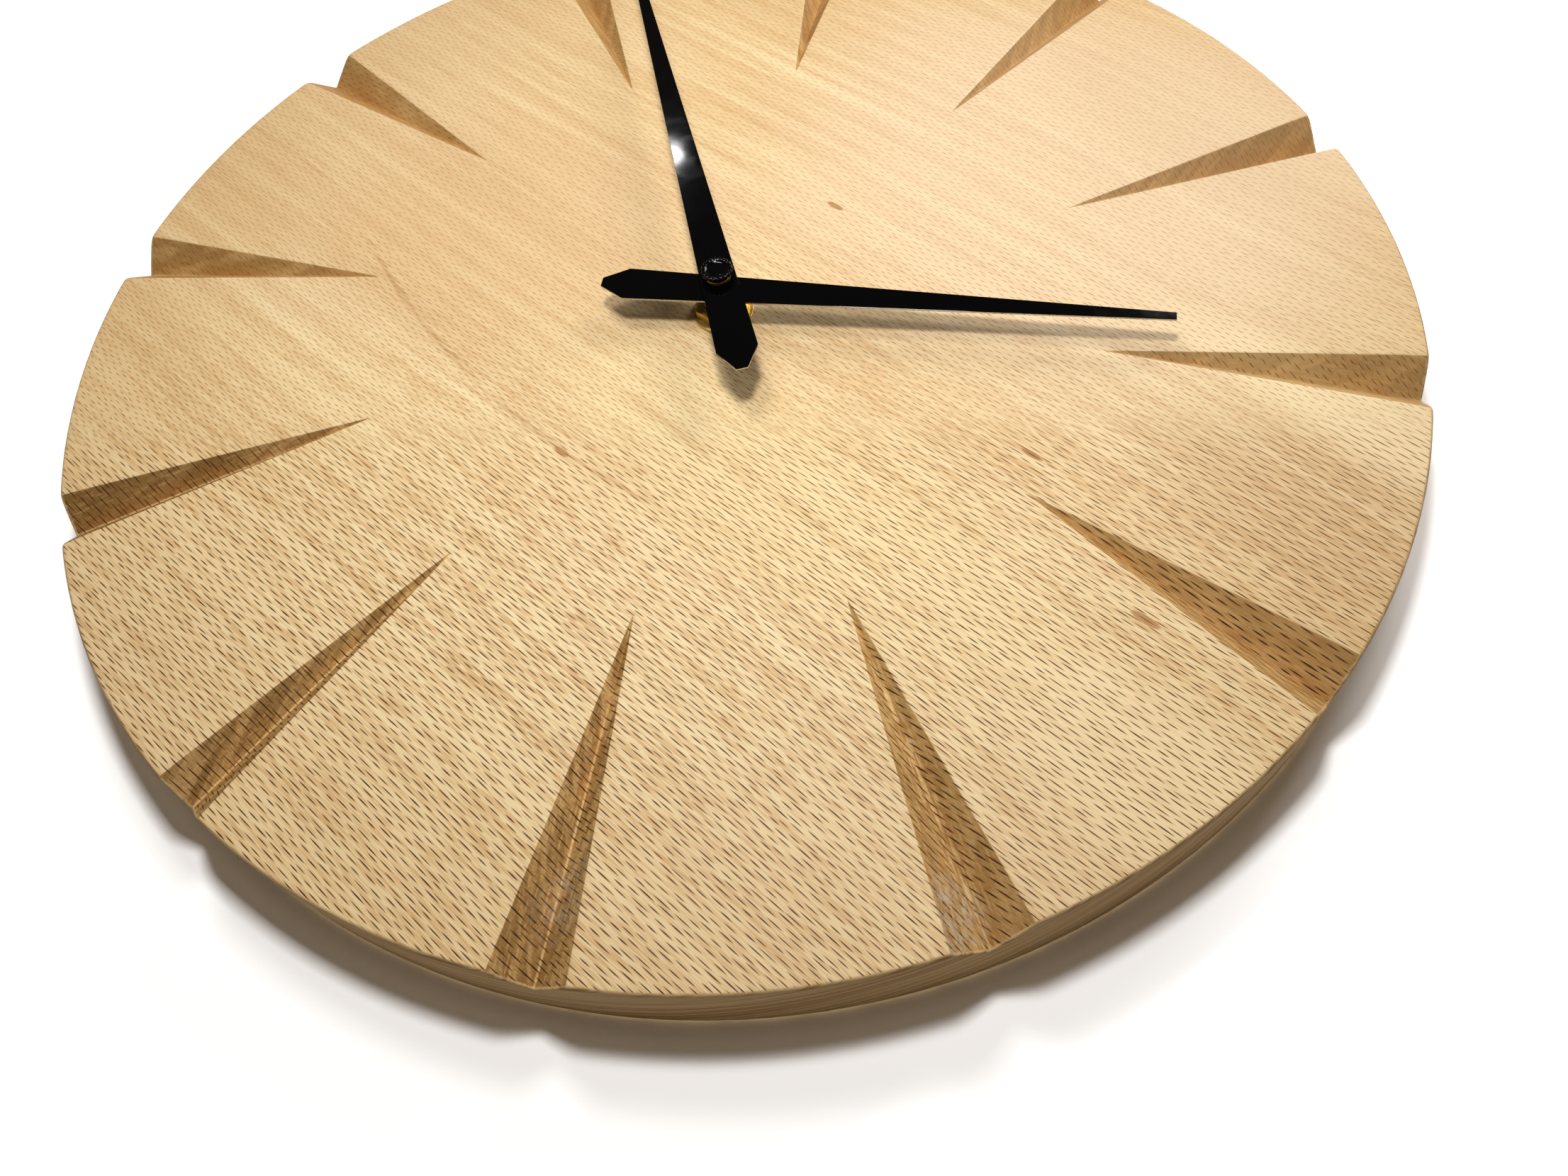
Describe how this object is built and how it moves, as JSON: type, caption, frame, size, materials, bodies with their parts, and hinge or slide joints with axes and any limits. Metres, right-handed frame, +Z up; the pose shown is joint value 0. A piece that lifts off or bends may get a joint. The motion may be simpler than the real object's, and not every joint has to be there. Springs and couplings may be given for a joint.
{
  "type": "wall clock",
  "caption": "Round wall clock of solid beech with radial V grooves for hours, black tapered hands and a quartz movement let into the back.",
  "frame": {"origin": "on the axis of the hands, in the plane of the wall that the back of the board rests on", "axes": "+Z up to 12 o'clock, +X to 3 o'clock as seen from in front, +Y into the wall, so the dial faces -Y"},
  "size_m": [0.3, 0.0332, 0.3],
  "materials": {
    "beech": "light beech, sanded and clear matt oiled",
    "black_lacquer": "gloss black lacquer on a thin metal stamping, bare at the cut edges",
    "brass": "plain turned brass",
    "zinc_steel": "zinc-plated steel",
    "rubber": "matt black rubber",
    "black_plastic": "fine spark-eroded moulding",
    "white_plastic": "natural acetal moulding",
    "cell_jacket": "printed foil jacket with bare metal ends",
    "circuit_green": "green solder mask",
    "chip_resin": "black potting resin",
    "soft_iron": "annealed soft iron",
    "magnet": "sintered magnet",
    "copper_wire": "enamelled copper wire, wound"
  },
  "bodies": {
    "clock_body": {"dial_board": "beech", "sawtooth_hanger": "zinc_steel", "hanger_screw_left": "zinc_steel", "hanger_screw_right": "zinc_steel", "movement_case": "black_plastic", "movement_cover": "black_plastic", "train_bridge": "white_plastic", "threaded_bush": "brass", "rubber_washer": "rubber", "brass_washer": "brass", "fixing_nut": "brass", "battery_cell": "cell_jacket", "positive_contact": "zinc_steel", "negative_contact": "zinc_steel", "circuit_board": "circuit_green", "quartz_crystal": "zinc_steel", "control_chip": "chip_resin", "stator": "soft_iron", "coil_core": "soft_iron", "coil_bobbin": "white_plastic", "coil_winding": "copper_wire"},
    "minute_hand_set": {"minute_hand": "black_lacquer", "minute_hand_collet": "brass", "cap_nut": "black_lacquer", "minute_arbor": "brass"},
    "hour_hand_set": {"hour_hand": "black_lacquer", "hour_hand_collet": "brass", "hour_wheel": "brass"},
    "minute_wheel_set": {"minute_wheel": "white_plastic"},
    "setting_knob_set": {"setting_knob": "black_plastic"},
    "rotor_set": {"rotor_pinion": "white_plastic", "rotor_magnet": "magnet"},
    "fifth_wheel_set": {"fifth_wheel": "white_plastic"},
    "second_wheel_set": {"second_wheel": "white_plastic"},
    "third_wheel_set": {"third_wheel": "white_plastic"},
    "centre_wheel_set": {"centre_wheel": "white_plastic"}
  },
  "joints": [
    {"name": "minute_hand_turn", "type": "hinge", "parent": "clock_body", "child": "minute_hand_set", "pos_m": [0, -0.01, 0], "axis": [0, 1, 0], "continuous": true},
    {"name": "hour_hand_turn", "type": "hinge", "parent": "clock_body", "child": "hour_hand_set", "pos_m": [0, -0.01, 0], "axis": [0, 1, 0], "continuous": true},
    {"name": "minute_wheel_turn", "type": "hinge", "parent": "clock_body", "child": "minute_wheel_set", "pos_m": [-0.01182, -0.01, 0.00208], "axis": [0, 1, 0], "continuous": true},
    {"name": "setting_knob_turn", "type": "hinge", "parent": "clock_body", "child": "setting_knob_set", "pos_m": [-0.01782, -0.01, 0.01248], "axis": [0, 1, 0], "continuous": true},
    {"name": "rotor_turn", "type": "hinge", "parent": "clock_body", "child": "rotor_set", "pos_m": [0.0105, -0.01, 0.01163], "axis": [0, 1, 0], "continuous": true},
    {"name": "fifth_wheel_turn", "type": "hinge", "parent": "clock_body", "child": "fifth_wheel_set", "pos_m": [0.00735, -0.01, 0.00617], "axis": [0, 1, 0], "continuous": true},
    {"name": "second_wheel_turn", "type": "hinge", "parent": "clock_body", "child": "second_wheel_set", "pos_m": [0, -0.01, 0], "axis": [0, 1, 0], "continuous": true},
    {"name": "third_wheel_turn", "type": "hinge", "parent": "clock_body", "child": "third_wheel_set", "pos_m": [-0.00795, -0.01, 0.00459], "axis": [0, 1, 0], "continuous": true},
    {"name": "centre_wheel_turn", "type": "hinge", "parent": "clock_body", "child": "centre_wheel_set", "pos_m": [0, -0.01, 0], "axis": [0, 1, 0], "continuous": true}
  ],
  "couplings": [
    {"joint": "hour_hand_turn", "follows": "minute_hand_turn", "ratio": 0.083333},
    {"joint": "minute_wheel_turn", "follows": "minute_hand_turn", "ratio": -0.33333},
    {"joint": "setting_knob_turn", "follows": "minute_hand_turn", "ratio": 1},
    {"joint": "fifth_wheel_turn", "follows": "rotor_turn", "ratio": -0.16667},
    {"joint": "second_wheel_turn", "follows": "rotor_turn", "ratio": 0.033333},
    {"joint": "third_wheel_turn", "follows": "rotor_turn", "ratio": -0.0044444},
    {"joint": "centre_wheel_turn", "follows": "rotor_turn", "ratio": 0.00055556}
  ]
}
